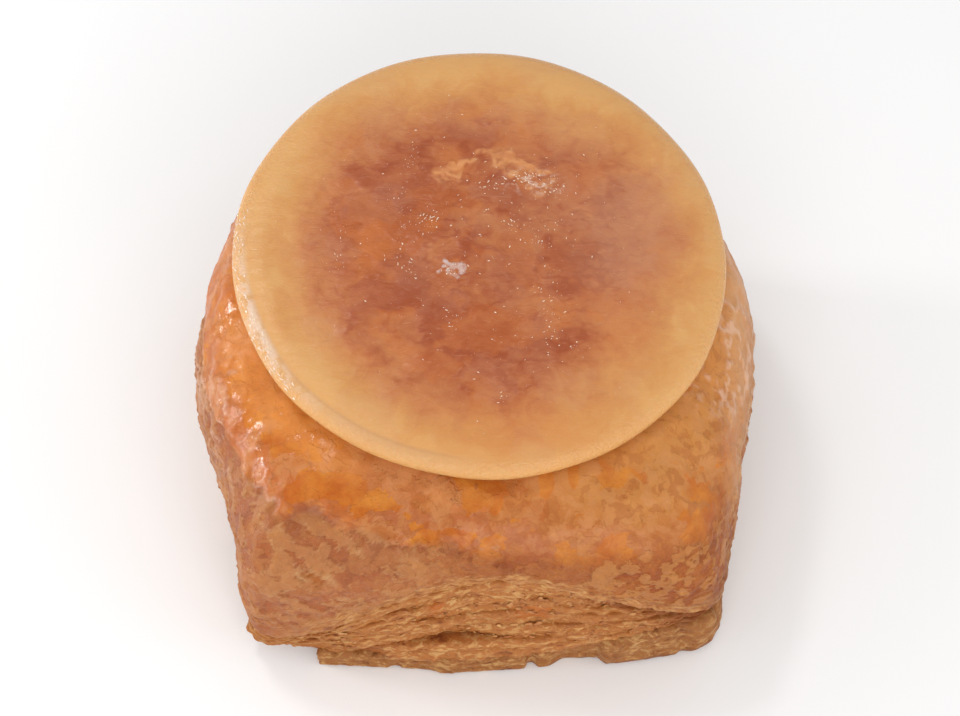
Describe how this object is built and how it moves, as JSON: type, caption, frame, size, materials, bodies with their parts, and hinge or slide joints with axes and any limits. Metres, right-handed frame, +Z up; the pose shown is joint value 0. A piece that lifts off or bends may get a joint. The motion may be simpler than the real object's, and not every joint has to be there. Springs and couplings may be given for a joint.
{
  "type": "danish pastry",
  "caption": "Square puffed Danish pastry of laminated dough with layered edges, a glazed crust and a browned custard round resting tilted on its crown.",
  "frame": {"origin": "middle of the flat underside of the bottom sheet of dough, on the surface the pastry rests on", "axes": "+Z up, -Y towards the front side, where the layered edge shows and the custard round lies lower, +X to its right"},
  "size_m": [0.1017, 0.1033, 0.0554],
  "materials": {
    "crust": "baked golden-brown laminated dough, glossy apricot glaze on its upper crust",
    "custard": "pale set custard with a browned middle, smooth and slightly moist"
  },
  "bodies": {
    "root": {"laminated_dough": "crust", "custard_round": "custard"}
  },
  "joints": []
}
